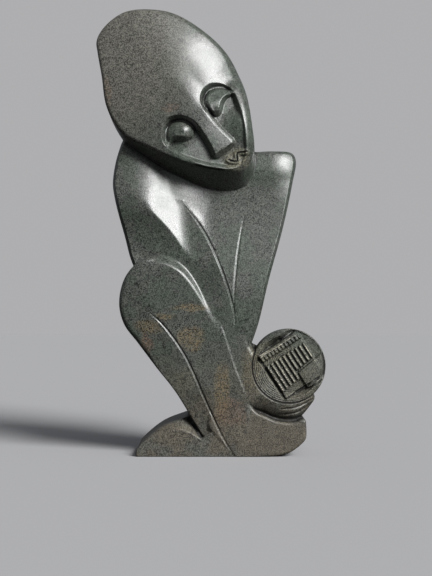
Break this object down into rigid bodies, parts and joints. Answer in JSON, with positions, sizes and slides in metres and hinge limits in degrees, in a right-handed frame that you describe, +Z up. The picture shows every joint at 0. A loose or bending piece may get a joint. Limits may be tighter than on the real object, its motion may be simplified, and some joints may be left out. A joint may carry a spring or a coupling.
{
  "type": "carved stone figure",
  "caption": "Carved dark stone figure of a kneeling player with a long tilted face, cupping a round gourd with a key board.",
  "frame": {"origin": "centre of the underside, below the middle of the whole figure", "axes": "+Z up, from the underside to the crown; -Y towards the viewer, the way the face looks; +X to the viewer's right, the gourd's side"},
  "size_m": [0.2153, 0.0878, 0.42],
  "materials": {
    "polished_stone": "dark grey-green stone, hand polished and waxed, with rust-brown stains low down"
  },
  "bodies": {
    "root": {"kneeling_figure": "polished_stone"}
  },
  "joints": []
}
